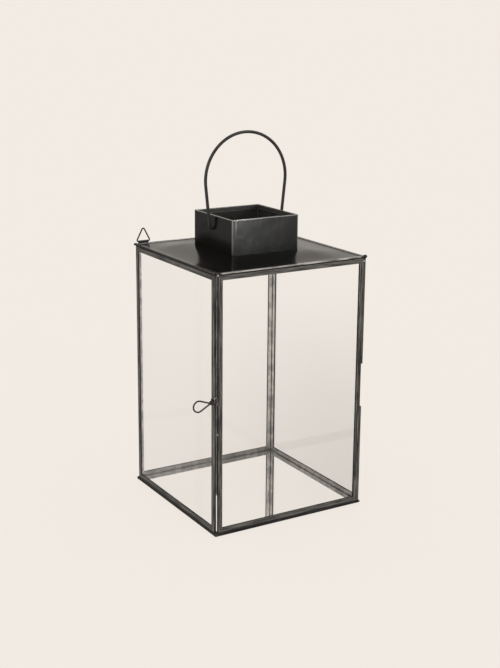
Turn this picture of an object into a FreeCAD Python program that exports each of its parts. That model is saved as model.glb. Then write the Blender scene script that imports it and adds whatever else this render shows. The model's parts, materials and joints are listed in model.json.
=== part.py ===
import FreeCAD, Part
import math
import os

# Square candle lantern: glass panes edged with folded metal channel, a hinged
# glass door, a mirror floor, a raised sheet top with an open chimney collar,
# a wire bail, a wire latch and two hanging rings.
# Millimetres. X runs along the front, Y to the back, Z up.
# The origin is on the underside, in the middle of the body.

Vector = FreeCAD.Vector
AXIS_X = Vector(1, 0, 0)
AXIS_Y = Vector(0, 1, 0)
AXIS_Z = Vector(0, 0, 1)

# ---- driving dimensions ----

# Body
body_width = 165.0
body_depth = 165.0
body_height = 251.4            # underside to the top of the rim

# Folded channel round every pane and round the floor
channel_sheet = 0.4
channel_flange = 4.3
channel_fold_radius = 0.8
pane_thickness = 2.2
pane_clearance = 0.3           # pane edge to the channel's web

# Floor
mirror_thickness = 2.0
backing_thickness = 0.6
cover_clearance = 0.2          # cover sheet to the flanges round it

# Top
rim_sheet = 0.6
rim_flange = 3.4
rim_fold_radius = 1.0
plate_thickness = 1.0
plate_rise = 3.7               # border of the plate up to its flat middle
plate_border = 1.5             # flat strip between the rim and the slope
plateau_margin = 2.5           # flat strip round the collar
vent_width = 64.0

# Chimney collar
collar_width = 73.5
collar_height = 33.9
collar_sheet = 0.8
collar_bend_radius = 1.2
collar_hem_depth = 4.5         # edge folded inwards at the mouth
collar_offset_x = -1.7         # soldered on slightly off centre
collar_offset_y = 1.0
seam_width = 2.8
seam_thickness = 0.5

# Strips soldered into the corner grooves
corner_round = 1.8
corner_break_low = 101.0       # the front strip is missing between these heights
corner_break_high = 145.0

# Door
door_gap = 0.4
hinge_rod_diameter = 1.8
hinge_rod_standoff = 0.05      # rod to the end of the door
hinge_rod_inset = 1.6          # rod axis behind the door's outer face
running_clearance = 0.05       # radial, for every wire that turns in a hole
end_gap = 0.1                  # rod end to the plate above and the mirror below

# Bail
bail_wire = 3.0
bail_arch_radius = 44.6
bail_reach = 90.1              # pivot to the middle of the wire at the top
bail_foot_gap = 1.7            # leg to the collar at the pivot
bail_bend_radius = 3.2
bail_pivot_drop = 12.9         # mouth of the collar down to the pivot
bail_end = 3.0                 # wire left inside the collar

# Latch
latch_height = 131.7           # pivot above the underside
latch_wire = 1.5
latch_pin_diameter = 1.0
latch_pin_reach = 3.0          # pin axis outside the door's face
latch_head_diameter = 2.4
latch_head_thickness = 0.5
latch_loop_radius = 5.2
latch_loop_reach = 13.8        # pin to the middle of the loop
latch_loop_droop = 1.1
latch_tip_height = 1.0         # tip of the tongue above the pin
latch_bend_radius = 0.9
latch_side_gap = 0.3           # wire to the bracket and to the head of the pin
bracket_sheet = 0.6
bracket_height = 4.2
bracket_foot = 5.0
rivet_clearance = 0.02
catch_wire = 0.9
catch_span = 2.7               # between the middles of the catch's two legs
catch_top = 4.3                # crown of the catch above the pin
catch_foot = -3.2
catch_free_end = -0.2

# Hanging rings
ring_wire = 1.4
ring_base = 15.4
ring_rise = 14.8
ring_corner_radius = 1.5
ring_inset = 9.3               # end of the body to the middle of the ring
sleeve_wall = 0.4
sleeve_length = 10.2
sleeve_lift = 1.6              # ring axis above the rim
sleeve_setback = 1.7           # ring axis in from the back of the body

# ---- sizes that follow ----

panel_thickness = pane_thickness + 2 * channel_sheet
floor_stack = mirror_thickness + backing_thickness
base_height = floor_stack + 2 * channel_sheet
rim_height = plate_thickness + 2 * rim_sheet
panel_bottom = base_height
panel_top = body_height - rim_height
panel_height = panel_top - panel_bottom
front_panel_width = body_width - 2 * panel_thickness
side_panel_width = body_depth - 2 * panel_thickness
door_width = side_panel_width - 2 * door_gap
door_height = panel_height - 2 * door_gap
groove_x = body_width / 2 - panel_thickness
groove_y = body_depth / 2 - panel_thickness

plate_top = body_height - rim_sheet
plateau_top = plate_top + plate_rise
collar_top = plateau_top + collar_height
bail_pivot_z = collar_top - bail_pivot_drop

hinge_x = -body_width / 2 + hinge_rod_inset
hinge_y = door_width / 2 + hinge_rod_diameter / 2 + hinge_rod_standoff

latch_x = -body_width / 2 - latch_pin_reach
latch_y = -(groove_y + panel_thickness / 2)
latch_eye_radius = (latch_pin_diameter + latch_wire) / 2 + running_clearance
catch_x = -(groove_x + catch_wire / 2)

ring_y = body_depth / 2 - sleeve_setback
ring_z = body_height + sleeve_lift


# ---- helpers ----

def box(x_low, x_high, y_low, y_high, z_low, z_high):
    return Part.makeBox(x_high - x_low, y_high - y_low, z_high - z_low, Vector(x_low, y_low, z_low))


def centred_box(width, depth, z_low, z_high):
    return box(-width / 2, width / 2, -depth / 2, depth / 2, z_low, z_high)


def rod(start, end, radius):
    return Part.makeCylinder(radius, (end - start).Length, start, end - start)


def turned(shape, axis, angle):
    copy = shape.copy()
    copy.rotate(Vector(0, 0, 0), axis, angle)
    return copy


def moved(shape, x, y, z):
    copy = shape.copy()
    copy.translate(Vector(x, y, z))
    return copy


def wire_along(edges, diameter):
    """Round wire bent along a path of lines and arcs that touch smoothly."""
    path = Part.Wire(edges)
    first = edges[0]
    start = first.valueAt(first.FirstParameter)
    direction = first.tangentAt(first.FirstParameter)
    section = Part.Wire(Part.makeCircle(diameter / 2, start, direction))
    return path.makePipeShell([section], True, False)


def line(start, end):
    return Part.LineSegment(start, end).toShape()


def arc(start, middle, end):
    return Part.Arc(start, middle, end).toShape()


def rounded_corner(before, corner, after, radius):
    """Points where a bend of this radius starts, is halfway and ends."""
    back = (before - corner).normalize()
    ahead = (after - corner).normalize()
    half = back.getAngle(ahead) / 2
    bisector = (back + ahead).normalize()
    start = corner + back * (radius / math.tan(half))
    end = corner + ahead * (radius / math.tan(half))
    middle = corner + bisector * (radius / math.sin(half) - radius)
    return start, middle, end


# ---- folded channel and framed panels ----

def channel_strip(length, slot, sheet, flange, fold_radius):
    """Channel along X with its web at Z = 0, open upwards, both ends mitred."""
    thickness = slot + 2 * sheet
    bar = box(-length / 2, length / 2, -thickness / 2, thickness / 2, 0, flange)
    folds = []
    for edge in bar.Edges:
        centre = edge.CenterOfMass
        if abs(centre.z) < fold_radius / 2 and abs(abs(centre.y) - thickness / 2) < fold_radius / 2:
            folds.append(edge)
    bar = bar.makeFillet(fold_radius, folds)
    bar = bar.cut(box(-length / 2, length / 2, -slot / 2, slot / 2, sheet, flange))
    corners = [
        Vector(-length / 2, -thickness, 0),
        Vector(length / 2, -thickness, 0),
        Vector(length / 2 - flange, -thickness, flange),
        Vector(-length / 2 + flange, -thickness, flange),
    ]
    mitre = Part.Face(Part.makePolygon(corners + corners[:1]))
    return bar.common(mitre.extrude(AXIS_Y * (2 * thickness)))


def channel_frame(width, height, slot, sheet, flange, fold_radius):
    """Four mitred strips round a rectangle that stands on X, in the XZ plane."""
    flat = channel_strip(width, slot, sheet, flange, fold_radius)
    upright = channel_strip(height, slot, sheet, flange, fold_radius)
    return {
        "bottom": flat,
        "top": moved(turned(flat, AXIS_Y, 180), 0, 0, height),
        "left": moved(turned(upright, AXIS_Y, 90), -width / 2, 0, height / 2),
        "right": moved(turned(upright, AXIS_Y, -90), width / 2, 0, height / 2),
    }


def glazed_panel(width, height):
    """A pane with channel on its four edges, standing in the XZ plane."""
    pieces = channel_frame(
        width, height, pane_thickness, channel_sheet, channel_flange, channel_fold_radius
    )
    reach = channel_sheet + pane_clearance
    pieces["pane"] = box(
        -width / 2 + reach, width / 2 - reach,
        -pane_thickness / 2, pane_thickness / 2,
        reach, height - reach,
    )
    return pieces


def stood_up(pieces, angle, outward, lift):
    """Turn a panel about Z, after moving it outwards to its side of the body."""
    result = {}
    for name, shape in pieces.items():
        result[name] = turned(moved(shape, 0, -outward, lift), AXIS_Z, angle)
    return result


def laid_flat(pieces, depth, middle_z):
    """Lay a frame made in the XZ plane down flat, centred on the Z axis."""
    result = {}
    for name, shape in pieces.items():
        result[name] = moved(turned(shape, AXIS_X, -90), 0, -depth / 2, middle_z)
    return result


def named_panel(panel, names):
    return {names[place]: shape for place, shape in panel.items()}


def glazed_sides():
    """The three fixed panels and the door, which takes the left side."""
    front = glazed_panel(front_panel_width, panel_height)
    side = glazed_panel(side_panel_width, panel_height)
    door = glazed_panel(door_width, door_height)
    out_y = body_depth / 2 - panel_thickness / 2
    out_x = body_width / 2 - panel_thickness / 2
    nodes = {}
    nodes.update(named_panel(stood_up(front, 0, out_y, panel_bottom), {
        "bottom": "front_rail_bottom",
        "top": "front_rail_top",
        "left": "front_stile_left",
        "right": "front_stile_right",
        "pane": "front_pane",
    }))
    nodes.update(named_panel(stood_up(front, 180, out_y, panel_bottom), {
        "bottom": "back_rail_bottom",
        "top": "back_rail_top",
        "left": "back_stile_right",
        "right": "back_stile_left",
        "pane": "back_pane",
    }))
    nodes.update(named_panel(stood_up(side, 90, out_x, panel_bottom), {
        "bottom": "right_rail_bottom",
        "top": "right_rail_top",
        "left": "right_stile_front",
        "right": "right_stile_back",
        "pane": "right_pane",
    }))
    nodes.update(named_panel(stood_up(door, -90, out_x, panel_bottom + door_gap), {
        "bottom": "door_rail_bottom",
        "top": "door_rail_top",
        "left": "door_stile_hinge",
        "right": "door_stile_latch",
        "pane": "door_pane",
    }))
    return nodes


def corner_strips():
    """Square strips with a rounded outer edge, soldered into the right corner grooves."""
    side = panel_thickness
    strip = box(groove_x, groove_x + side, -groove_y - side, -groove_y, panel_bottom, panel_top)
    outer = []
    for edge in strip.Edges:
        centre = edge.CenterOfMass
        if centre.x > groove_x + side * 0.9 and centre.y < -groove_y - side * 0.9:
            outer.append(edge)
    strip = strip.makeFillet(corner_round, outer)
    missing = centred_box(2 * body_width, 2 * body_depth, corner_break_low, corner_break_high)
    lower, upper = sorted(strip.cut(missing).Solids, key=lambda solid: solid.CenterOfMass.z)
    back = strip.mirror(Vector(0, 0, 0), AXIS_Y)
    return {
        "corner_strip_front_lower": lower,
        "corner_strip_front_upper": upper,
        "corner_strip_back": back,
    }


# ---- hinge ----

def hinge_rod():
    """Full-height rod on the door's back edge that turns in the base and the rim."""
    low = panel_bottom - channel_sheet + end_gap
    high = panel_top + rim_sheet - end_gap
    return rod(Vector(hinge_x, hinge_y, low), Vector(hinge_x, hinge_y, high), hinge_rod_diameter / 2)


def hinge_bore(z_low, z_high):
    radius = hinge_rod_diameter / 2 + running_clearance
    return rod(Vector(hinge_x, hinge_y, z_low), Vector(hinge_x, hinge_y, z_high), radius)


# ---- floor ----

def floor():
    frame = channel_frame(
        body_width, body_depth, floor_stack, channel_sheet, channel_flange, channel_fold_radius
    )
    frame = laid_flat(frame, body_depth, base_height / 2)
    bore = hinge_bore(base_height - channel_sheet, base_height)
    reach = channel_sheet + pane_clearance
    inner_width = body_width - 2 * reach
    inner_depth = body_depth - 2 * reach
    backing_top = channel_sheet + backing_thickness
    hidden = channel_flange + cover_clearance
    return {
        "base_strip_front": frame["bottom"],
        "base_strip_back": frame["top"].cut(bore),
        "base_strip_left": frame["left"].cut(bore),
        "base_strip_right": frame["right"],
        "base_cover": centred_box(body_width - 2 * hidden, body_depth - 2 * hidden, 0, channel_sheet),
        "floor_backing": centred_box(inner_width, inner_depth, channel_sheet, backing_top),
        "mirror_floor": centred_box(inner_width, inner_depth, backing_top, backing_top + mirror_thickness),
    }


# ---- top ----

def slope(width, depth, foot_z, head_z):
    """Solid under four shallow slopes that rise to the flat round the collar."""
    head = collar_width / 2 + plateau_margin
    low = [
        Vector(-width / 2, -depth / 2, foot_z),
        Vector(width / 2, -depth / 2, foot_z),
        Vector(width / 2, depth / 2, foot_z),
        Vector(-width / 2, depth / 2, foot_z),
    ]
    high = [
        Vector(collar_offset_x - head, collar_offset_y - head, head_z),
        Vector(collar_offset_x + head, collar_offset_y - head, head_z),
        Vector(collar_offset_x + head, collar_offset_y + head, head_z),
        Vector(collar_offset_x - head, collar_offset_y + head, head_z),
    ]
    sections = [Part.makePolygon(points + points[:1]) for points in (low, high)]
    return Part.makeLoft(sections, True, True)


def top_plate():
    """One raised sheet with the vent under the collar."""
    reach = rim_sheet + pane_clearance
    width = body_width - 2 * (rim_flange + plate_border)
    depth = body_depth - 2 * (rim_flange + plate_border)
    plate_bottom = plate_top - plate_thickness
    sheet = centred_box(body_width - 2 * reach, body_depth - 2 * reach, plate_bottom, plate_top)
    sheet = sheet.fuse(slope(width, depth, plate_top, plateau_top))
    sheet = sheet.cut(slope(width, depth, plate_bottom, plateau_top - plate_thickness))
    vent = centred_box(vent_width, vent_width, plate_bottom, plateau_top)
    return sheet.cut(moved(vent, collar_offset_x, collar_offset_y, 0)).removeSplitter()


def top():
    frame = channel_frame(
        body_width, body_depth, plate_thickness, rim_sheet, rim_flange, rim_fold_radius
    )
    frame = laid_flat(frame, body_depth, body_height - rim_height / 2)
    bore = hinge_bore(panel_top, panel_top + rim_sheet)
    return {
        "rim_strip_front": frame["bottom"],
        "rim_strip_back": frame["top"].cut(bore),
        "rim_strip_left": frame["left"].cut(bore),
        "rim_strip_right": frame["right"],
        "top_plate": top_plate(),
    }


# ---- chimney collar ----

def square_tube(outer, wall, radius, z_low, z_high):
    solid = centred_box(outer, outer, z_low, z_high)
    corners = [edge for edge in solid.Edges if edge.BoundBox.ZLength > (z_high - z_low) / 2]
    solid = solid.makeFillet(radius, corners)
    hollow = centred_box(outer - 2 * wall, outer - 2 * wall, z_low, z_high)
    inner_corners = [edge for edge in hollow.Edges if edge.BoundBox.ZLength > (z_high - z_low) / 2]
    hollow = hollow.makeFillet(radius / 2, inner_corners)
    return solid.cut(hollow)


def collar():
    """Bent sheet with its mouth folded inwards and a hole in each side for the bail."""
    tube = square_tube(collar_width, collar_sheet, collar_bend_radius, plateau_top, collar_top)
    hem = square_tube(
        collar_width, 2 * collar_sheet, collar_bend_radius, collar_top - collar_hem_depth, collar_top
    )
    tube = tube.fuse(hem).removeSplitter()
    hole = rod(
        Vector(-collar_width, 0, bail_pivot_z),
        Vector(collar_width, 0, bail_pivot_z),
        bail_wire / 2 + running_clearance,
    )
    return moved(tube.cut(hole), collar_offset_x, collar_offset_y, 0)


def collar_seam():
    """Lapped edge of the sheet, down the left end of the collar's front."""
    left = collar_offset_x - collar_width / 2 + collar_bend_radius
    face = collar_offset_y - collar_width / 2
    return box(left, left + seam_width, face - seam_thickness, face, plateau_top, collar_top)


# ---- bail ----

def bail():
    """Round arch with legs that draw in a little and turn into the collar's holes."""
    foot = collar_width / 2 + bail_foot_gap + bail_wire / 2
    arch_z = bail_reach - bail_arch_radius
    span = math.hypot(foot, arch_z)
    lean = math.atan2(arch_z, foot) - math.acos(bail_arch_radius / span)
    shoulder = Vector(
        bail_arch_radius * math.cos(lean), 0, arch_z - bail_arch_radius * math.sin(lean)
    )
    crown = Vector(0, 0, bail_reach)
    corner = Vector(foot, 0, 0)
    tip = Vector(collar_width / 2 - collar_sheet - bail_end, 0, 0)
    start, middle, end = rounded_corner(tip, corner, shoulder, bail_bend_radius)

    def other(point):
        return Vector(-point.x, point.y, point.z)

    path = [
        line(tip, start),
        arc(start, middle, end),
        line(end, shoulder),
        arc(shoulder, crown, other(shoulder)),
        line(other(shoulder), other(end)),
        arc(other(end), other(middle), other(start)),
        line(other(start), other(tip)),
    ]
    return moved(wire_along(path, bail_wire), collar_offset_x, collar_offset_y, bail_pivot_z)


# ---- latch ----

def latch_lever():
    """Drop-shaped wire loop, an eye round the pin and a tongue that turns up at its tip."""
    eye = Part.makeTorus(latch_eye_radius, latch_wire / 2, Vector(0, 0, 0), AXIS_Y)
    neck = Vector(-latch_eye_radius, 0, 0)
    middle = Vector(-latch_loop_reach, 0, -latch_loop_droop)
    outward = middle - neck
    distance = outward.Length
    outward.normalize()
    upward = Vector(outward.z, 0, -outward.x)
    far = middle + outward * latch_loop_radius
    cosine = -latch_loop_radius / distance
    sine = math.sqrt(1 - cosine * cosine)
    lever = eye
    for side in (-1, 1):
        def on_loop(along, across):
            return middle + (outward * along + upward * (side * across)) * latch_loop_radius

        halfway = math.acos(cosine) / 2
        touch = on_loop(cosine, sine)
        turn = on_loop(math.cos(halfway), math.sin(halfway))
        lever = lever.fuse(wire_along([line(neck, touch), arc(touch, turn, far)], latch_wire))
    tip_x = catch_x - catch_span / 2 - latch_x
    below = Vector(0, 0, -latch_eye_radius)
    corner = Vector(tip_x, 0, -latch_eye_radius)
    tip = Vector(tip_x, 0, latch_tip_height)
    start, bend, end = rounded_corner(below, corner, tip, latch_bend_radius)
    tongue = wire_along([line(below, start), arc(start, bend, end), line(end, tip)], latch_wire)
    return moved(lever.fuse(tongue), latch_x, latch_y, latch_height)


def latch_catch():
    """Wire hook on the front frame's edge, open below, that the tongue's tip sits in."""
    radius = catch_span / 2
    shoulder = catch_top - radius
    foot = Vector(0, 0, catch_foot)
    right = Vector(0, 0, shoulder)
    crown = Vector(-radius, 0, catch_top)
    left = Vector(-catch_span, 0, shoulder)
    free = Vector(-catch_span, 0, catch_free_end)
    path = [line(foot, right), arc(right, crown, left), line(left, free)]
    return moved(wire_along(path, catch_wire), catch_x, latch_y, latch_height)


def latch_bracket():
    """Bent tab on the door's face whose ear carries the pin."""
    front = latch_y + latch_wire / 2 + latch_side_gap
    face = -body_width / 2
    half = bracket_height / 2
    foot = box(face - bracket_sheet, face, front, front + bracket_foot, -half, half)
    ear = box(latch_x, face, front, front + bracket_sheet, -half, half)
    end = rod(Vector(latch_x, front, 0), Vector(latch_x, front + bracket_sheet, 0), half)
    hole = rod(
        Vector(latch_x, front - bracket_sheet, 0),
        Vector(latch_x, front + 2 * bracket_sheet, 0),
        latch_pin_diameter / 2 + rivet_clearance,
    )
    return moved(foot.fuse(ear).fuse(end).cut(hole).removeSplitter(), 0, 0, latch_height)


def latch_pin():
    """Pin with a head at each end, through the bracket's ear and the lever's eye."""
    ear_back = latch_y + latch_wire / 2 + latch_side_gap + bracket_sheet
    head_back = latch_y - latch_wire / 2 - latch_side_gap
    radius = latch_head_diameter / 2
    shank = rod(Vector(0, ear_back, 0), Vector(0, head_back, 0), latch_pin_diameter / 2)
    back = rod(Vector(0, ear_back, 0), Vector(0, ear_back + latch_head_thickness, 0), radius)
    front = rod(Vector(0, head_back, 0), Vector(0, head_back - latch_head_thickness, 0), radius)
    return moved(shank.fuse(back).fuse(front).removeSplitter(), latch_x, 0, latch_height)


# ---- hanging rings ----

def hanging_ring(x):
    """Triangle of wire with rounded corners, its base turning in the sleeve."""
    left = Vector(-ring_base / 2, 0, 0)
    right = Vector(ring_base / 2, 0, 0)
    apex = Vector(0, 0, ring_rise)
    base_middle = Vector(0, 0, 0)
    bends = [
        rounded_corner(left, right, apex, ring_corner_radius),
        rounded_corner(right, apex, left, ring_corner_radius),
        rounded_corner(apex, left, right, ring_corner_radius),
    ]
    path = []
    reached = base_middle
    for start, middle, end in bends:
        path.append(line(reached, start))
        path.append(arc(start, middle, end))
        reached = end
    path.append(line(reached, base_middle))
    return moved(wire_along(path, ring_wire), x, ring_y, ring_z)


def ring_sleeve(x):
    """Tube with a flat foot, soldered on the rim along the back edge."""
    bore_radius = ring_wire / 2 + running_clearance
    outer_radius = bore_radius + sleeve_wall
    half = sleeve_length / 2
    ends = (Vector(-half, 0, 0), Vector(half, 0, 0))
    tube = rod(ends[0], ends[1], outer_radius)
    foot = box(-half, half, -outer_radius, outer_radius, -sleeve_lift, 0)
    sleeve = tube.fuse(foot).cut(rod(ends[0], ends[1], bore_radius)).removeSplitter()
    return moved(sleeve, x, ring_y, ring_z)


def rings():
    x = body_width / 2 - ring_inset
    return {
        "ring_sleeve_left": ring_sleeve(-x),
        "ring_sleeve_right": ring_sleeve(x),
        "hanging_ring_left": hanging_ring(-x),
        "hanging_ring_right": hanging_ring(x),
    }


# ---- assembly ----

def build():
    nodes = {}
    nodes.update(glazed_sides())
    nodes.update(corner_strips())
    nodes.update(floor())
    nodes.update(top())
    nodes.update(rings())
    nodes["hinge_rod"] = hinge_rod()
    nodes["chimney_collar"] = collar()
    nodes["collar_seam"] = collar_seam()
    nodes["bail_handle"] = bail()
    nodes["latch_lever"] = latch_lever()
    nodes["latch_catch"] = latch_catch()
    nodes["latch_bracket"] = latch_bracket()
    nodes["latch_pin"] = latch_pin()
    return nodes


os.makedirs("parts", exist_ok=True)
for node_name, node_shape in build().items():
    node_shape.exportStep("parts/" + node_name + ".step")
    print(node_name, len(node_shape.Solids), node_shape.isValid(), round(node_shape.Volume, 2))
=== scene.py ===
# %% [markdown]
# # A glass and black metal candle lantern
# The construction comes ready made, at its real size, as a frame of separate
# pieces: panes, folded edging, collar, wires. This lesson gives them their
# finishes, presses a softer top sheet, adds what the maker's hands left
# behind, such as solder, and sets up the camera and the light. Lengths are in
# metres.

# %% Load the frame
import math

import bpy
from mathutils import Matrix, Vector
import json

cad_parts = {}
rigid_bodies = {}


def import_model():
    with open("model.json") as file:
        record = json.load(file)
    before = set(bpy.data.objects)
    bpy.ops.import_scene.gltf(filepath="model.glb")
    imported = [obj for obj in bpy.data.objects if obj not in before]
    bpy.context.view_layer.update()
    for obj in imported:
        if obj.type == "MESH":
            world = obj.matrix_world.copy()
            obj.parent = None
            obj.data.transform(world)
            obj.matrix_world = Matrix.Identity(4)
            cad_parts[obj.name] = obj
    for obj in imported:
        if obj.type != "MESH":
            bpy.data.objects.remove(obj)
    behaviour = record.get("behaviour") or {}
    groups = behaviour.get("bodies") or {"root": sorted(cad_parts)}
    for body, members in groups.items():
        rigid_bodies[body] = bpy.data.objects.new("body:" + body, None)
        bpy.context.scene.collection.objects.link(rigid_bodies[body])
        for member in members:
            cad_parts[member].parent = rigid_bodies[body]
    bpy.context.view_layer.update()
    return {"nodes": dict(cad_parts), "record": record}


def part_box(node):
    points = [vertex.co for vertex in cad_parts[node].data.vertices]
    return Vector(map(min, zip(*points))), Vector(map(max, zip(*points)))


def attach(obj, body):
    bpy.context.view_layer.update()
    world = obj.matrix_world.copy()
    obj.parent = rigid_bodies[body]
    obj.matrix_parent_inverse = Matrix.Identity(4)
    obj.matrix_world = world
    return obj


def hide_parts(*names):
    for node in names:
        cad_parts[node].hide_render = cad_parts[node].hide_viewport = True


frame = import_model()
MM = 0.001
print("pieces in the frame:", len(frame["nodes"]))

# %% [markdown]
# ## Places taken from the frame
# Later cells need the lantern's corners, faces and edges. They could be typed
# in as numbers, but measured from the frame's own pieces they follow when a
# size of the frame changes.

# %% Measure the lantern
rim_low, rim_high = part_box("rim_strip_front")
side_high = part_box("rim_strip_left")[1]
plate_low, plate_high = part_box("top_plate")
collar_low, collar_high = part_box("chimney_collar")
seam_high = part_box("collar_seam")[1]
front_low, front_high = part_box("front_stile_left")
half_width = rim_high.x
half_depth = side_high.y
body_top = rim_high.z
panel_depth = front_high.y - front_low.y
flange_width = rim_high.y - rim_low.y
collar_middle = (collar_low + collar_high) / 2
collar_half = (collar_high.x - collar_low.x) / 2
print("half width and depth:", round(half_width, 4), round(half_depth, 4))
print("height of the body:", round(body_top, 4))

# %% [markdown]
# ## The camera
# The photograph looks down a little on the corner between the door and the
# front. A long lens keeps the uprights nearly parallel. The camera could be
# set by eye, but the body's corners fix its place, its turn and its lens, so
# these are given as numbers. The sensor's width belongs to the picture's long
# side, and the small shift moves the picture without tilting the lantern.

# %% Place the camera
PICTURE_WIDTH = 500
PICTURE_HEIGHT = 668
CAMERA_PLACE = Vector((-0.5893, -0.9747, 0.4760))
CAMERA_AZIMUTH = math.radians(-30.41)
CAMERA_ELEVATION = math.radians(13.71)
CAMERA_ROLL = math.radians(0.27)
FOCAL_PIXELS = 1189.6
AXIS_PIXEL = (232.1, 302.5)    # where the lens axis meets the picture
SENSOR_WIDTH = 36.0

camera_data = bpy.data.cameras.new("camera")
camera = bpy.data.objects.new("camera", camera_data)
bpy.context.scene.collection.objects.link(camera)
bpy.context.scene.camera = camera
camera_data.sensor_width = SENSOR_WIDTH
camera_data.lens = FOCAL_PIXELS / PICTURE_HEIGHT * SENSOR_WIDTH
camera_data.shift_x = (PICTURE_WIDTH / 2 - AXIS_PIXEL[0]) / PICTURE_HEIGHT
camera_data.shift_y = (AXIS_PIXEL[1] - PICTURE_HEIGHT / 2) / PICTURE_HEIGHT
camera.location = CAMERA_PLACE
towards_camera = Vector((
    math.sin(CAMERA_AZIMUTH) * math.cos(CAMERA_ELEVATION),
    -math.cos(CAMERA_AZIMUTH) * math.cos(CAMERA_ELEVATION),
    math.sin(CAMERA_ELEVATION),
))
camera.rotation_euler = towards_camera.to_track_quat("Z", "Y").to_euler()
camera.rotation_euler.rotate_axis("Z", CAMERA_ROLL)
print("lens:", round(camera_data.lens, 1), "mm")

# %% [markdown]
# ## Colour management
# The backdrop is one flat warm white. The Standard view shows a colour as it
# is given, so the backdrop and the lantern can be matched by eye.

# %% Choose the view
bpy.context.scene.view_settings.view_transform = "Standard"


def from_screen(red, green, blue):
    """The linear colour of a screen colour given from 0 to 255."""
    linear = []
    for channel in (red, green, blue):
        share = channel / 255
        linear.append(share / 12.92 if share <= 0.04045 else ((share + 0.055) / 1.055) ** 2.4)
    return (*linear, 1.0)


WARM_WHITE = from_screen(242, 235, 227)
print("backdrop colour:", [round(value, 3) for value in WARM_WHITE])

# %% [markdown]
# ## Shader maths
# A finish is easier to read as a sum than as a web of nodes. `Flow` stands for
# a value on its way through the nodes, and sums on it add Math nodes. Every
# other node comes from `Finish.add`, which takes the node's type, its
# settings and what goes into its sockets.

# %% Write finishes as expressions
class Flow:
    """A socket that can be added, multiplied and compared like a number."""

    def __init__(self, finish, socket):
        self.finish = finish
        self.socket = socket

    def maths(self, operation, first, second):
        return self.finish.add("ShaderNodeMath", {"operation": operation}, {0: first, 1: second})

    def __add__(self, other):
        return self.maths("ADD", self, other)

    def __sub__(self, other):
        return self.maths("SUBTRACT", self, other)

    def __rsub__(self, other):
        return self.maths("SUBTRACT", other, self)

    def __mul__(self, other):
        return self.maths("MULTIPLY", self, other)

    def larger(self, other):
        return self.maths("MAXIMUM", self, other)

    def size(self):
        return self.maths("ABSOLUTE", self, 0.0)

    def between(self, low, high):
        """0 below the low value, 1 above the high one, smooth in between."""
        settings = {"interpolation_type": "SMOOTHSTEP"}
        sockets = {"Value": self, "From Min": low, "From Max": high}
        return self.finish.add("ShaderNodeMapRange", settings, sockets)

    __radd__ = __add__
    __rmul__ = __mul__


class Finish:
    """A material that is built up node by node."""

    def __init__(self, name):
        self.material = bpy.data.materials.new(name)
        self.material.use_nodes = True
        self.tree = self.material.node_tree
        self.tree.nodes.clear()
        self.place = self.add("ShaderNodeTexCoord", output="Object")

    def add(self, kind, settings=None, sockets=None, output=0):
        node = self.tree.nodes.new(kind)
        for name, value in (settings or {}).items():
            setattr(node, name, value)
        for name, value in (sockets or {}).items():
            if isinstance(value, Flow):
                self.tree.links.new(value.socket, node.inputs[name])
            else:
                node.inputs[name].default_value = value
        return Flow(self, node.outputs[output])

    def axis(self, name):
        return self.add("ShaderNodeSeparateXYZ", sockets={0: self.place}, output=name)

    def noise(self, grain, detail=3.0, roughness=0.5, scale=(1, 1, 1)):
        """Soft noise from 0 to 1, its grain in metres, stretched by a scale for each axis."""
        stretched = self.add("ShaderNodeMapping", sockets={"Vector": self.place, "Scale": scale})
        sockets = {
            "Vector": stretched,
            "Scale": 1 / grain,
            "Detail": detail,
            "Roughness": roughness,
        }
        return self.add("ShaderNodeTexNoise", sockets=sockets)

    def blend(self, share, first, second):
        """A colour between two, by a share from 0 to 1."""
        settings = {"data_type": "RGBA", "clamp_factor": True}
        return self.add("ShaderNodeMix", settings, {0: share, 6: first, 7: second}, output=2)

    def rounded(self, radius):
        """The normal as if sharp edges were rounded to this radius."""
        return self.add("ShaderNodeBevel", {"samples": 6}, {"Radius": radius})

    def edge_wear_and_highlight(self, radius):
        """0 on a flat, up to 1 on an edge or fold, where the finish rubs off and where a highlight
        is painted.
        """
        flat = self.add("ShaderNodeNewGeometry", output="Normal")
        sockets = {0: self.rounded(radius), 1: flat}
        settings = {"operation": "DOT_PRODUCT"}
        return 1 - self.add("ShaderNodeVectorMath", settings, sockets, output="Value")

    def bump(self, height, depth, normal=None):
        """A normal that shows a height from 0 to 1 as relief of a depth in metres."""
        sockets = {"Height": height, "Distance": depth}
        if normal:
            sockets["Normal"] = normal
        return self.add("ShaderNodeBump", sockets=sockets)

    def principled(self, **sockets):
        named = {name.replace("_", " "): value for name, value in sockets.items()}
        return self.add("ShaderNodeBsdfPrincipled", sockets=named)

    def show(self, surface):
        node = self.tree.nodes.new("ShaderNodeOutputMaterial")
        self.tree.links.new(surface.socket, node.inputs["Surface"])
        print("mixed", self.material.name)
        return self.material


def grey(value, warmth=0.02):
    """A nearly neutral colour, a little warmer as the warmth rises."""
    return (value * (1 + warmth), value, value * (1 - warmth), 1.0)


# %% [markdown]
# ## Painted highlights on the collar
# The collar's upright bends, its mouth and the edge of its lapped seam are
# painted lighter as painted highlights, which fade towards the collar's foot.
# Each such place is a mask, a value that is 1 where the highlight is painted
# and 0 elsewhere, worked out from how far a point lies from the collar's
# faces. Masks could be painted by hand too, but these follow the collar when
# its size changes.

# %% Find where the collar's highlights are painted
# Each pair holds the two ends of a soft change.
BEND = (1.5 * MM, 0.6 * MM)          # inwards from an outer face
INNER_FACE = (1.0 * MM, 0.5 * MM)    # inwards from an outer face
MOUTH = (0.8 * MM, 0.2 * MM)         # down from the mouth
SEAM_EDGE = (0.3 * MM, 0.8 * MM)     # to either side of the seam's edge
FRONT_FACE = (0.2 * MM, 0.6 * MM)    # back from the front face
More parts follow.
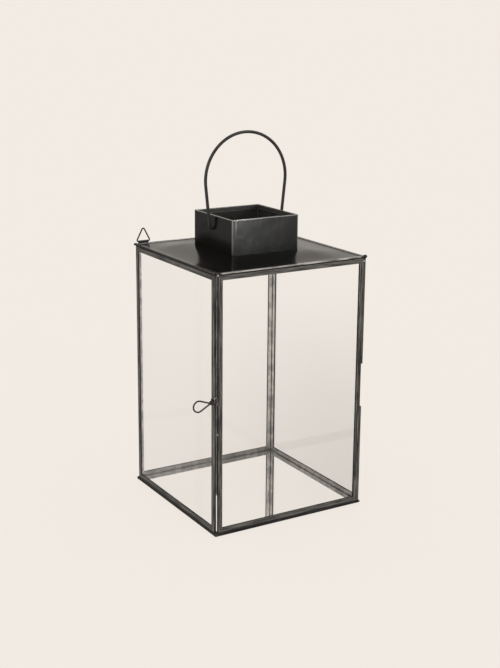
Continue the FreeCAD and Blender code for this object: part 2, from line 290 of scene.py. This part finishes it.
# Painted highlights: full at the mouth, weaker on the seam, fading down the bends.
MOUTH_HIGHLIGHT = 0.8
SEAM_HIGHLIGHT = 0.6
BEND_FOOT_HIGHLIGHT = 0.2               # at the foot of a bend, against 1 at its top


def near_sides(finish, begins, full):
    """Two values, across and in depth, that rise to 1 towards the collar's outer faces."""
    starts, ends = collar_half - begins, collar_half - full
    across = (finish.axis("X") - collar_middle.x).size().between(starts, ends)
    deep = (finish.axis("Y") - collar_middle.y).size().between(starts, ends)
    return across, deep


def seam_line(finish, height):
    """A painted highlight: rises to 1 towards the mouth along the seam's edge on the front face, 0
    elsewhere.
    """
    beside = (finish.axis("X") - seam_high.x).size().between(*SEAM_EDGE)
    behind = finish.axis("Y").between(collar_low.y + FRONT_FACE[0], collar_low.y + FRONT_FACE[1])
    return (1 - beside) * (1 - behind) * height.between(collar_middle.z, collar_high.z)


def collar_highlights(finish):
    """How strongly a highlight is painted on the collar's upright bends, its mouth and its seam,
    from 0 to 1.
    """
    height = finish.axis("Z")
    across, deep = near_sides(finish, *BEND)
    above_plate = height.between(plate_high.z, plate_high.z + BEND[0])
    rise = height.between(plate_high.z, collar_high.z)
    upwards = BEND_FOOT_HIGHLIGHT + rise * (1 - BEND_FOOT_HIGHLIGHT)
    bends = across * deep * above_plate * upwards
    mouth = height.between(collar_high.z - MOUTH[0], collar_high.z - MOUTH[1])
    return bends.larger(mouth * MOUTH_HIGHLIGHT).larger(seam_line(finish, height) * SEAM_HIGHLIGHT)


def collar_inside(finish):
    """1 on the collar's inner faces, which are painted lighter as painted light, 0 elsewhere."""
    across, deep = near_sides(finish, *INNER_FACE)
    return (1 - across) * (1 - deep)


print("half width of the collar:", round(collar_half, 4))

# %% [markdown]
# ## Satin black sheet
# The raised top and the collar are one grade of sheet under satin black
# paint. It mirrors softly, so its roughness matters more than its colour. A
# slow change in roughness and a faint ripple keep it from looking printed.
# Sheet edges are never knife sharp, so the normal is rounded over them, and
# they are painted lighter there, partly as wear and partly as a painted
# highlight; the collar's bends, mouth and seam carry painted highlights too.
# Up to the joint round the collar's foot it is left as it is, because
# rounding would catch the light in the joint. The sheet is rough where it is
# seen in another piece's gloss, so no lamp shows twice.

# %% Mix the sheet's paint
JOINT = (1.5 * MM, 3.0 * MM)         # heights above the plate, where rounding sets in
SHEET_SHADES = (grey(0.002), grey(0.006))
# Painted light: the collar's inner faces are a lighter grey.
LIT_INSIDE_SHEET = grey(0.035)
WORN_AND_HIGHLIT_SHEET = grey(0.32)
MIRRORED_ROUGHNESS = 0.8             # added where the sheet is seen in another piece's gloss


def satin_sheet():
    """The paint of the top and the collar."""
    finish = Finish("satin_black_sheet")
    cloud = finish.noise(38 * MM)
    peel = finish.noise(1.1 * MM, detail=2.0)
    brushed = finish.noise(2.2 * MM, detail=4.0, scale=(1, 1, 0.15))
    above_joint = finish.axis("Z").between(plate_high.z + JOINT[0], plate_high.z + JOINT[1])
    sharp = (finish.edge_wear_and_highlight(0.8 * MM) * (0.5 + brushed)).between(0.02, 0.22) * above_joint
    # Edge wear together with the collar's painted highlights, lighter and more metallic.
    worn_and_highlit = sharp.larger(collar_highlights(finish) * (0.4 + brushed * 0.8))
    colour = finish.blend(cloud, *SHEET_SHADES)
    # The inner faces are painted lighter, as painted light.
    colour = finish.blend(collar_inside(finish), colour, LIT_INSIDE_SHEET)
    colour = finish.blend(worn_and_highlit, colour, WORN_AND_HIGHLIT_SHEET)
    mirrored = finish.add("ShaderNodeLightPath", output="Is Glossy Ray")
    flat = finish.add("ShaderNodeNewGeometry", output="Normal")
    eased = finish.blend(above_joint, flat, finish.rounded(0.6 * MM))
    relief = finish.bump(cloud * 0.8 + peel * 0.03, 0.5 * MM, eased)
    return finish.show(finish.principled(
        Base_Color=colour,
        Metallic=worn_and_highlit * 0.85,
        Roughness=0.12 + cloud * 0.08 + brushed * 0.04 + mirrored * MIRRORED_ROUGHNESS,
        Normal=relief,
    ))


sheet_black = satin_sheet()

# %% [markdown]
# ## Where the edging is worn, and its painted light
# The channel round the panes is steel, folded by hand and blackened with
# solder and patina. Inside the lantern the blackening is thin and the metal
# shows grey. The grooves between the panels are painted black, as painted
# shade. The front rim has a painted highlight along its fold, is smooth on
# top, and has a painted highlight along its inner top edge. Each strip could
# get a painted map of its own. But all this can be told from how far in and
# how far down a point lies, so the same masks serve every strip.

# %% Find the edging's worn places and painted light
# Each pair holds the two ends of a soft change.
OUTER_FACE = (panel_depth - 0.05 * MM, panel_depth - 0.25 * MM)    # in from an outer face
GROOVE_WALL = (0.1 * MM, 0.45 * MM)                                # in from the nearest one
GROOVE_END = (panel_depth + 0.1 * MM, panel_depth + 0.5 * MM)      # in from the farther one
INNER_EDGE_BAND = (flange_width - 0.12 * MM, flange_width - 0.02 * MM)    # in from the nearest one
FOLD_END = (half_width - 9 * MM, half_width - 4.5 * MM)            # out from the middle


def inside_lantern(finish):
    """1 on the faces that look into the lantern, 0 on its outer faces."""
    begins, full = OUTER_FACE
    across = finish.axis("X").size().between(half_width - begins, half_width - full)
    deep = finish.axis("Y").size().between(half_depth - begins, half_depth - full)
    return (1 - across) * (1 - deep)


def depths(finish):
    """How far in a point lies from the nearest and from the farther outer face."""
    from_side = half_width - finish.axis("X").size()
    from_front = half_depth - finish.axis("Y").size()
    apart = (from_side - from_front).size()
    return (from_side + from_front - apart) * 0.5, (from_side + from_front + apart) * 0.5


def below_top(height, begins, full):
    """A mask that rises to 1 towards the body's top, from one depth below it to another."""
    return height.between(body_top - begins, body_top - full)


def front_fold_highlight(finish, height):
    """A painted highlight in patches along the front rim's fold, which fades before the corners.
    """
    to_corner = finish.axis("X").size().between(*FOLD_END)
    patchy = finish.noise(7 * MM, detail=4.0, scale=(0.25, 1, 1)).between(0.34, 0.56)
    return below_top(height, 1.3 * MM, 0.6 * MM) * (1 - to_corner) * patchy


print("depth of a panel:", round(panel_depth, 4))
print("width of the rim's flange:", round(flange_width, 4))

# %% [markdown]
# ## Folded edging
# Outside, the edging is dark grey with streaks along its length, and inside
# it is mottled. One mix for all would be shorter, but the streaks have to run
# along each strip, so uprights, front strips and side strips get one each.
# The front strips also get a brighter worn and highlit shade than the side
# strips, as a painted highlight from the light in front. The bands at the
# foot and under the top are darker.

# %% Mix the edging's finishes
ALONG = {"upright": (1, 1, 0.06), "front": (0.06, 1, 1), "side": (1, 0.06, 1)}
WORN_DARK, WORN_LIGHT = 0.23, 0.44
SPECK_BLACK = grey(0.08)
# Painted shade: black in the grooves between the panels.
GROOVE_SHADE_BLACK = grey(0.003)
# Painted highlight: light grey along the rim's inner top edge.
INNER_EDGE_HIGHLIGHT = grey(0.34)


def blackened_edging(name, direction, shades, worn_and_highlit_shade, paints_fold_highlight=False, bare_inside=1.0):
    """One mix of edging, its shades given as greys, its worn and highlit edges in their own grey.
    A high bare_inside lightens the inside.
    """
    darkest, lightest = shades
    finish = Finish(name)
    height = finish.axis("Z")
    inside = inside_lantern(finish)
    nearest, farther = depths(finish)
    groove_shade = nearest.between(*GROOVE_WALL) * (1 - farther.between(*GROOVE_END))
    inner_edge_highlight = nearest.between(*INNER_EDGE_BAND) * below_top(height, 1.0 * MM, 0.5 * MM)
    top_face = below_top(height, 0.4 * MM, 0.1 * MM)
    streak = finish.noise(1.6 * MM, detail=5.0, roughness=0.7, scale=ALONG[direction])
    blotch = finish.noise(9 * MM, detail=4.0, roughness=0.6)
    speck = finish.noise(1.2 * MM, detail=2.0)
    dark = finish.blend(streak.between(0.33, 0.70), grey(darkest), grey(lightest))
    worn_shades = (grey(WORN_DARK * bare_inside), grey(WORN_LIGHT * bare_inside, 0.03))
    worn = finish.blend(blotch.between(0.34, 0.66), *worn_shades)
    worn = finish.blend(speck.between(0.64, 0.78) * 0.6, worn, SPECK_BLACK)
    worn_and_highlit = (finish.edge_wear_and_highlight(0.6 * MM) * (0.3 + streak)).between(0.02, 0.20)
    if paints_fold_highlight:
        # On the front band, a painted highlight along the rim's fold.
        worn_and_highlit = worn_and_highlit.larger(front_fold_highlight(finish, height))
    colour = finish.blend(inside, dark, worn)
    # Edge wear and painted highlights, in the worn and highlit shade.
    colour = finish.blend(worn_and_highlit * (1 - inside), colour, grey(worn_and_highlit_shade))
    # The grooves are painted black as painted shade, without metal gloss.
    colour = finish.blend(groove_shade, colour, GROOVE_SHADE_BLACK)
    # A painted highlight along the rim's inner top edge.
    colour = finish.blend(inner_edge_highlight, colour, INNER_EDGE_HIGHLIGHT)
    lumps = (streak * 0.5 + blotch * 0.8) * (1 - top_face * 0.9)
    return finish.show(finish.principled(
        Base_Color=colour,
        Metallic=(0.25 + inside * 0.25 + worn_and_highlit * 0.5) * (1 - groove_shade),
        Roughness=(0.32 + streak * 0.22) * (1 - top_face * 0.5),
        Normal=finish.bump(lumps, 0.35 * MM, finish.rounded(0.35 * MM)),
    ))


# Side strips get a dimmer worn and highlit shade than front strips: painted highlight that follows
# the light.
frame_edging = {
    "upright": blackened_edging("edging_upright", "upright", (0.012, 0.22), 0.22, bare_inside=2.0),
    "front": blackened_edging("edging_front", "front", (0.03, 0.20), 0.22),
    "side": blackened_edging("edging_side", "side", (0.03, 0.17), 0.12),
}
# The front band's bright shade paints a highlight along the front rim; the side band gets almost
# none and is a little darker, as painted shade.
band_edging = {
    "front": blackened_edging("band_front", "front", (0.004, 0.035), 0.60, paints_fold_highlight=True),
    "side": blackened_edging("band_side", "side", (0.004, 0.030), 0.03),
}

# %% [markdown]
# ## Wire
# Bail, rings, latch and hinge rod are drawn steel wire, blackened. One flat
# grey would do from afar, but a slow cloud in it keeps the bail from looking
# like plastic. Wire is thin, so a fine grain and a soft gloss are enough. The
# catch is rubbed bare by the latch's tongue.

# %% Mix the wire's finishes
def drawn_wire(name, shades, metallic, roughness):
    """Wire that clouds from one grey to another."""
    dark, light = shades
    finish = Finish(name)
    grain = finish.noise(1.2 * MM, detail=3.0)
    cloud = finish.noise(16 * MM)
    colour = finish.blend(cloud.between(0.3, 0.7), grey(dark), grey(light))
    return finish.show(finish.principled(
        Base_Color=colour,
        Metallic=metallic,
        Roughness=roughness + grain * 0.16,
        Normal=finish.bump(grain, 0.05 * MM, finish.rounded(0.3 * MM)),
    ))


wire_black = drawn_wire("blackened_wire", (0.020, 0.042), metallic=0.2, roughness=0.34)
wire_bare = drawn_wire("bare_wire", (0.45, 0.75), metallic=1.0, roughness=0.22)

# %% [markdown]
# ## Solder
# Solder is tin and lead: brighter than the steel, lumpy where it froze, and
# blackened with the rest except where hands and cloths have rubbed it. The
# rubbed places could be drawn one by one. But hands reach the lumps first, so
# the same noise lifts the surface and brightens it, partly as wear and partly
# as a painted highlight on the lumps.

# %% Mix the solder
def frozen_solder(name, shades, bright_from):
    """Solder that turns from a dark to a bright grey where its noise passes a value."""
    dark, bright = shades
    finish = Finish(name)
    lump = finish.noise(2.0 * MM, detail=4.0, roughness=0.6)
    worn_and_highlit = lump.between(bright_from, bright_from + 0.2)
    # Lighter where the noise is high: wear and a painted highlight.
    colour = finish.blend(worn_and_highlit, grey(dark), grey(bright, 0.01))
    return finish.show(finish.principled(
        Base_Color=colour,
        Metallic=0.7,
        Roughness=0.28 + lump * 0.2,
        Normal=finish.bump(lump, 0.25 * MM),
    ))


solder_dark = frozen_solder("blackened_solder", (0.02, 0.14), bright_from=0.5)
solder_bright = frozen_solder("rubbed_and_highlit_solder", (0.25, 0.80), bright_from=0.35)

# %% [markdown]
# ## Glass and the mirror
# Window glass is almost colourless face on. The renderer bends light through
# both faces of each pane, which gives the soft double reflections. The glass
# is painted a little darker low down and to the right, as painted shade, and
# a slow wave bends what is seen. Light from lamps has to pass too, or the
# floor inside would be black, so rays that carry shadow meet a plain
# see-through shader instead. The floor is a mirror with a little haze on it.

# %% Mix the glass and the mirror
CLEAN_GLASS = (1.0, 1.0, 1.0, 1.0)
SHADED_GLASS = (0.955, 0.955, 0.955, 1.0)
SHADOW_TINT = (0.92, 0.93, 0.92, 1.0)
CLEAN_MIRROR = (1.0, 1.0, 0.995, 1.0)
HAZY_MIRROR = (0.98, 0.985, 0.98, 1.0)
GLASS_IOR = 1.27           # real glass has 1.52, which mirrors more than these panes do


def window_glass():
    """The glass of the four panes."""
    finish = Finish("window_glass")
    wave = finish.noise(70 * MM, detail=1.0)
    breath = finish.noise(110 * MM, detail=2.0)
    # Painted shade on the glass: darker low down and to the right.
    low_down = 1 - finish.axis("Z").between(0.10 * body_top, 1.05 * body_top)
    to_the_right = finish.axis("X").between(-1.4 * half_width, 1.2 * half_width)
    painted_shade = (low_down * (0.25 + to_the_right * 0.75)) * (0.7 + breath * 0.6)
    pane = finish.principled(
        Base_Color=finish.blend(painted_shade, CLEAN_GLASS, SHADED_GLASS),
        Transmission_Weight=1.0,
        Roughness=0.0,
        IOR=GLASS_IOR,
        Normal=finish.bump(wave, 0.12 * MM),
    )
    clear = finish.add("ShaderNodeBsdfTransparent", sockets={"Color": SHADOW_TINT})
    shadow = finish.add("ShaderNodeLightPath", output="Is Shadow Ray")
    return finish.show(finish.add("ShaderNodeMixShader", sockets={0: shadow, 1: pane, 2: clear}))


def floor_mirror():
    """The silvered glass of the floor."""
    finish = Finish("floor_mirror")
    haze = finish.noise(40 * MM, detail=3.0)
    return finish.show(finish.principled(
        Base_Color=finish.blend(haze, CLEAN_MIRROR, HAZY_MIRROR),
        Metallic=1.0,
        Roughness=0.045 + haze.between(0.5, 0.8) * 0.03,
    ))


glass = window_glass()
mirror = floor_mirror()

# %% [markdown]
# ## Dress the frame
# Every piece of the frame is in a named material slot of its record. A list
# of finishes by piece would be long, so they are handed out by those names,
# and the edging by the way that each strip runs.

# %% Give each piece its finish
FINISHES = {
    "black_sheet": sheet_black,
    "black_wire": wire_black,
    "bare_wire": wire_bare,
    "clear_glass": glass,
    "mirror": mirror,
}


def strip_direction(name):
    """The way a strip runs: its longest side."""
    low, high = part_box(name)
    sides = high - low
    if sides.z > max(sides.x, sides.y):
        return "upright"
    return "front" if sides.x > sides.y else "side"


def finish_of(name, slot_name):
    """The finish of a piece of the frame."""
    if slot_name != "edging":
        return FINISHES[slot_name]
    dark_band = name.startswith(("base_", "rim_"))
    return (band_edging if dark_band else frame_edging)[strip_direction(name)]


slot_of = {entry["node"]: entry["material_slot"] for entry in frame["record"]["subparts"]}
for name, piece in frame["nodes"].items():
    finish = finish_of(name, slot_of[name])
    for material_slot in piece.material_slots:
        material_slot.material = finish
    if not piece.material_slots:
        piece.data.materials.append(finish)
print("dressed", len(slot_of), "pieces")

# %% [markdown]
# ## Modelling by selection
# Blender's operators act on whatever is selected, and a forgotten selection
# spoils other pieces. The selecting could be written out in every step, but
# in three helpers it is always the same. The last one also hangs a finished
# piece on its body and gives it its finish.

# %% Write helpers for modelling
def only(obj):
    """Selects an object and nothing else."""
    bpy.ops.object.select_all(action="DESELECT")
    obj.select_set(True)
    bpy.context.view_layer.objects.active = obj


def edit_faces(obj, chosen):
    """Enters edit mode on an object with only the chosen faces selected."""
    only(obj)
    bpy.ops.object.mode_set(mode="EDIT")
    bpy.ops.mesh.select_mode(type="FACE")
    bpy.ops.mesh.select_all(action="DESELECT")
    bpy.ops.object.mode_set(mode="OBJECT")
    for face in obj.data.polygons:
        face.select = chosen(face.center)
    bpy.ops.object.mode_set(mode="EDIT")


def finished(obj, finish, body, smooth_angle=40.0):
    """Fixes an object's place in its mesh, smooths it and hangs it on its body."""
    only(obj)
    bpy.ops.object.transform_apply(location=True, rotation=True, scale=True)
    bpy.ops.object.shade_smooth_by_angle(angle=math.radians(smooth_angle))
    obj.data.materials.clear()
    obj.data.materials.append(finish)
    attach(obj, body)
    return obj


print("helpers ready: only, edit_faces, finished")

# %% [markdown]
# ## The raised top sheet
# The top is one sheet, beaten up a little towards the collar, with no crease
# where its four slopes would meet. Folding it from flat planes would leave
# hips that the gloss shows at once. So a fine grid is drawn up by its middle,
# and proportional editing lets the rest follow, as the sheet does under the
# mallet. Then the vent under the collar is cut, and the sheet gets its
# thickness.

# %% Press the top sheet
GRID_STEPS = 66
SHEET_THICKNESS = 1.0 * MM
VENT_WIDTH = 64.0 * MM
BORDER_Z = body_top - 0.6 * MM       # the sheet's edge lies under the rim's flange
BORDER_WIDTH = 3.5 * MM              # flat strip that the pressing doesn't reach
PLATEAU_HALF = 39.0 * MM             # flat middle that carries the collar


def in_plateau(place):
    return max(abs(place.x), abs(place.y)) < PLATEAU_HALF


def in_vent(place):
    from_collar = max(abs(place.x - collar_middle.x), abs(place.y - collar_middle.y))
    return from_collar < VENT_WIDTH / 2


def top_sheet():
    """The pressed sheet, which replaces the frame's top plate."""
    bpy.ops.object.select_all(action="DESELECT")
    bpy.ops.mesh.primitive_grid_add(
        x_subdivisions=GRID_STEPS, y_subdivisions=GRID_STEPS, size=1.0, location=(0, 0, BORDER_Z)
    )
    sheet = bpy.context.object
    sheet.name = "pressed_top_sheet"
    sheet.scale = (plate_high.x - plate_low.x, plate_high.y - plate_low.y, 1.0)
    bpy.ops.object.transform_apply(location=True, rotation=True, scale=True)
    edit_faces(sheet, in_plateau)
    bpy.ops.transform.translate(
        value=(0, 0, plate_high.z - BORDER_Z),
        use_proportional_edit=True,
        proportional_edit_falloff="SMOOTH",
        proportional_size=half_width - BORDER_WIDTH - PLATEAU_HALF,
    )
    bpy.ops.object.mode_set(mode="OBJECT")
    edit_faces(sheet, in_vent)
    bpy.ops.mesh.delete(type="FACE")
    bpy.ops.object.mode_set(mode="OBJECT")
    wall = sheet.modifiers.new("wall", "SOLIDIFY")
    wall.thickness = SHEET_THICKNESS
    wall.offset = -1.0
    bpy.ops.object.modifier_apply(modifier=wall.name)
    finished(sheet, sheet_black, "lantern")
    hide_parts("top_plate")
    return sheet


sheet = top_sheet()
heights = [vertex.co.z for vertex in sheet.data.vertices]
print("top sheet from", round(min(heights), 4), "to", round(max(heights), 4))

# %% [markdown]
# ## Solder beads
# Where the channels meet, the maker leaves a bead of solder, and no two
# freeze alike. Copies of one bead would show that they are copies. So each
# starts as a ball, which a noise texture pushes in and out and which is then
# squeezed to its size. The noise is read at the bead's own place, so every
# bead gets another shape. One sits on each corner of the rim and one on each
# corner of the foot.

# %% Freeze the corner beads
LUMPINESS = 0.3            # share of the bead's size that the noise moves
LUMP_GRAIN = 0.55
KNOB_WIDTH = 4.4 * MM
CORNER_INSET = 1.1 * MM
RIM_KNOB_HEIGHT = {"front": 3.2 * MM, "back": 2.2 * MM}    # low at the back, under the rings
RIM_KNOB_DROP = {"front": 0.45 * MM, "back": 0.8 * MM}     # from the body's top
FOOT_KNOB_HEIGHT = 2.8 * MM
FOOT_KNOB_RISE = 1.6 * MM
DEPTHS = {"front": -1, "back": 1}
SIDES = {"left": -1, "right": 1}


def bead(name, place, size, finish):
    """A lump of solder of a given size along each axis."""
    bpy.ops.object.select_all(action="DESELECT")
    bpy.ops.mesh.primitive_ico_sphere_add(subdivisions=3, radius=0.5, location=(0, 0, 0))
    lump = bpy.context.object
    lump.name = name
    cloud = bpy.data.textures.new(name + "_lumps", "CLOUDS")
    cloud.noise_scale = LUMP_GRAIN
    frozen = lump.modifiers.new("frozen", "DISPLACE")
    frozen.texture = cloud
    frozen.texture_coords = "GLOBAL"
    frozen.strength = LUMPINESS
    lump.location = Vector(place) / MM     # far apart in the noise, which is in metres
    bpy.context.view_layer.update()
    bpy.ops.object.modifier_apply(modifier=frozen.name)
    lump.location = place
    lump.scale = size
    return finished(lump, finish, "lantern", smooth_angle=60.0)


beads = []
for depth_name, depth_side in DEPTHS.items():
    for side_name, side in SIDES.items():
        corner_x = side * (half_width - CORNER_INSET)
        corner_y = depth_side * (half_depth - CORNER_INSET)
        corner_name = depth_name + "_" + side_name
        rim_place = Vector((corner_x, corner_y, body_top - RIM_KNOB_DROP[depth_name]))
        rim_size = (KNOB_WIDTH, KNOB_WIDTH, RIM_KNOB_HEIGHT[depth_name])
        foot_place = Vector((corner_x, corner_y, FOOT_KNOB_RISE))
        foot_size = (KNOB_WIDTH, KNOB_WIDTH, FOOT_KNOB_HEIGHT)
        beads.append(bead("rim_knob_" + corner_name, rim_place, rim_size, solder_dark))
        beads.append(bead("foot_knob_" + corner_name, foot_place, foot_size, solder_dark))
print("froze", len(beads), "beads")

# %% [markdown]
# ## Rubbed and highlit spots
# Three lumps of solder are bright, partly rubbed and partly a painted
# highlight: where the rim meets the front left post, on the right post's
# shoulder, and one drop that ran into the open groove beside the door. They
# could be painted on the edging's finish, but real lumps stand proud and
# catch the light, so they are beads as well.

# %% Add the rubbed and highlit spots
SPOTS = {
    "spot_front_left": {
        "place": (-half_width + 1.9 * MM, -half_depth - 0.1 * MM, body_top - 1.6 * MM),
        "size": 2.2 * MM,
    },
    "spot_front_right": {
        "place": (half_width - 2.6 * MM, -half_depth + 0.1 * MM, body_top - 4.6 * MM),
        "size": 1.7 * MM,
    },
    "drop_in_groove": {
        "place": (-half_width + panel_depth - 0.2 * MM, -half_depth + 1.3 * MM, 100.2 * MM),
        "size": 1.5 * MM,
    },
}
for spot_name, spot in SPOTS.items():
    # Bright solder, partly a painted highlight.
    beads.append(bead(spot_name, spot["place"], (spot["size"],) * 3, solder_bright))
print("beads in all:", len(beads))

# %% [markdown]
# ## The door's stop
# Behind the door's free edge runs a thin strip that it closes against, and
# that keeps the light out of the gap. It ends above the floor, where the gap
# shows. A wire would do too, but flat faces close the gap better, so a cube is
# stretched to the strip's length, and its edges are eased.

# %% Add the door's stop
STOP_FOOT = 40 * MM
STOP_HEAD = front_high.z - 1.0 * MM
STOP_WIDTH = 1.5 * MM
STOP_GAP = 0.05 * MM       # to the inner face of the front left upright
STOP_EASE = 0.3 * MM


def door_stop():
    """A strip with eased edges on the inner face of the front left upright."""
    inset = panel_depth + STOP_GAP + STOP_WIDTH / 2
    middle = (-half_width + inset, -half_depth + inset, (STOP_FOOT + STOP_HEAD) / 2)
    bpy.ops.object.select_all(action="DESELECT")
    bpy.ops.mesh.primitive_cube_add(size=1.0, location=middle)
    strip = bpy.context.object
    strip.name = "door_stop"
    strip.scale = (STOP_WIDTH, STOP_WIDTH, STOP_HEAD - STOP_FOOT)
    bpy.ops.object.transform_apply(location=True, rotation=True, scale=True)
    eased = strip.modifiers.new("eased", "BEVEL")
    eased.width = STOP_EASE
    eased.segments = 3
    bpy.ops.object.modifier_apply(modifier=eased.name)
    return finished(strip, frame_edging["upright"], "lantern")


stop = door_stop()
print("length of the door's stop:", round(stop.dimensions.z, 4))

# %% [markdown]
# ## The floor
# The lantern stands on a pale floor that runs back without a visible edge. A
# curved backdrop would do that too, but its bend would show in the panes. So
# the floor is flat and very wide, and glows in the colour of the walls. It is
# dimmer in mirrored light, or black paint would look grey. Seen through the
# panes it keeps its colour, except a little shade right behind the lantern
# and to its right.

# %% Lay the floor
FLOOR_SIZE = 60.0
PAPER_SHARE = 0.10             # how much of the floor's colour comes from the light on it
MIRRORED_FLOOR = 0.30          # brightness in mirrored light, against 1 to the eye
SHADED_FLOOR = 0.82            # right behind the lantern, as seen through its panes
SHADE_REACH = (-0.15, 1.0)     # full and gone, away from the camera
SHADE_SIDE = (-0.10, 0.12)     # least and full, to the camera's right
SHADE_LEAST = 0.12
AWAY = -towards_camera.normalized()


def dimmed(colour, share):
    """A colour with less light in it."""
    return tuple(value * share for value in colour[:3]) + (1.0,)


def floor_paper():
    """Paper that glows in its own colour, dimmer where a mirror shows it."""
    finish = Finish("floor_paper")
    grain = finish.noise(120 * MM, detail=2.0)
    plain = dimmed(WARM_WHITE, 1 - PAPER_SHARE)
    glossy = finish.add("ShaderNodeLightPath", output="Is Glossy Ray")
    through_glass = finish.add("ShaderNodeLightPath", output="Is Transmission Ray")
    beyond = finish.axis("X") * AWAY.x + finish.axis("Y") * AWAY.y
    beside = finish.axis("X") * AWAY.y - finish.axis("Y") * AWAY.x
    to_the_right = SHADE_LEAST + beside.between(*SHADE_SIDE) * (1 - SHADE_LEAST)
    shade = (1 - beyond.between(*SHADE_REACH)) * to_the_right
    paper = finish.principled(
        Base_Color=finish.blend(grain, grey(PAPER_SHARE * 0.98), grey(PAPER_SHARE * 1.02)),
        Roughness=1.0,
        Specular_IOR_Level=0.0,
        Emission_Color=finish.blend(shade * through_glass, plain, dimmed(plain, SHADED_FLOOR)),
        Emission_Strength=1.0,
    )
    dim_paper = dimmed(WARM_WHITE, MIRRORED_FLOOR)
    mirrored = finish.add("ShaderNodeEmission", sockets={"Color": dim_paper})
    share = glossy * (1 - through_glass)
    surface = finish.add("ShaderNodeMixShader", sockets={0: share, 1: paper, 2: mirrored})
    return finish.show(surface)


bpy.ops.object.select_all(action="DESELECT")
bpy.ops.mesh.primitive_plane_add(size=FLOOR_SIZE, location=(0, 0, 0))
floor = bpy.context.object
floor.name = "studio_floor"
floor.data.materials.append(floor_paper())
print("floor of", FLOOR_SIZE, "metres laid")

# %% [markdown]
# ## The walls
# The walls could be planes, but they would have corners and seams. The world
# around the scene has none, so it stands for them, in the backdrop's colour.
# It is dimmer in mirrored light too, as a room round a bright table is.

# %% Raise the walls
MIRRORED_WALLS = 0.68    # brightness in mirrored light, against 1 to the eye

world = bpy.data.worlds.new("studio")
bpy.context.scene.world = world
world.use_nodes = True
sky = world.node_tree
background = sky.nodes["Background"].inputs
light_path = sky.nodes.new("ShaderNodeLightPath").outputs
not_through = sky.nodes.new("ShaderNodeMath")
not_through.operation = "SUBTRACT"
not_through.inputs[0].default_value = 1.0
mirrored_only = sky.nodes.new("ShaderNodeMath")
mirrored_only.operation = "MULTIPLY"
strength = sky.nodes.new("ShaderNodeMapRange")
strength.inputs["To Min"].default_value = 1.0
strength.inputs["To Max"].default_value = MIRRORED_WALLS
sky.links.new(light_path["Is Transmission Ray"], not_through.inputs[1])
sky.links.new(light_path["Is Glossy Ray"], mirrored_only.inputs[0])
sky.links.new(not_through.outputs[0], mirrored_only.inputs[1])
sky.links.new(mirrored_only.outputs[0], strength.inputs["Value"])
sky.links.new(strength.outputs[0], background["Strength"])
background["Color"].default_value = WARM_WHITE
print("walls raised, in mirrored light at", MIRRORED_WALLS)

# %% [markdown]
# ## Lamps
# Glossy paint shows where its lamps are, so each lamp lights only what it is
# for. Screens could keep the light off the rest, but they would be mirrored.
# With light linking, a lamp gets a collection of the pieces that it reaches.
# A small lamp brightens the collar's front, one stands high on the right for
# the metal, and a tall one on the left serves both. None reaches the panes,
# where it would show as a white patch.

# %% Set the lamps
def lit_by(name, objects):
    """The collection of what a lamp shines on."""
    lit = bpy.data.collections.new(name)
    for item in objects:
        lit.objects.link(item)
    return lit


def soft_lamp(name, place, size, radiance, objects):
    """A soft lamp aimed at the collar, given by how bright its face is and what it lights."""
    width, height = size
    lamp_data = bpy.data.lights.new(name, "AREA")
    lamp_data.shape = "RECTANGLE"
    lamp_data.size = width
    lamp_data.size_y = height
    lamp_data.energy = radiance * math.pi * width * height
    lamp = bpy.data.objects.new(name, lamp_data)
    bpy.context.scene.collection.objects.link(lamp)
    lamp.location = place
    lamp.rotation_euler = (Vector(place) - collar_middle).to_track_quat("Z", "Y").to_euler()
    lamp.visible_camera = False
    lamp.light_linking.receiver_collection = lit_by(name + "_lit", objects)


not_lit = {glass, mirror, sheet_black}
metal = [
    item for item in bpy.context.scene.objects
    if item.type == "MESH" and item != floor and item.data.materials[0] not in not_lit
]
collar_pieces = [frame["nodes"]["chimney_collar"], frame["nodes"]["collar_seam"]]
soft_lamp("collar_lamp", (0.125, -0.40, 0.300), (0.10, 0.10), 60.0, collar_pieces)
soft_lamp("high_right_lamp", (0.75, -0.45, 1.45), (0.5, 0.5), 6.0, metal)
soft_lamp("left_lamp", (-1.3, -0.75, 0.45), (0.3, 0.9), 3.0, metal + collar_pieces)

# %% [markdown]
# ## The end
# The lantern is dressed, lit and seen by the camera, and the lesson ends here.

# %% Finish
import json
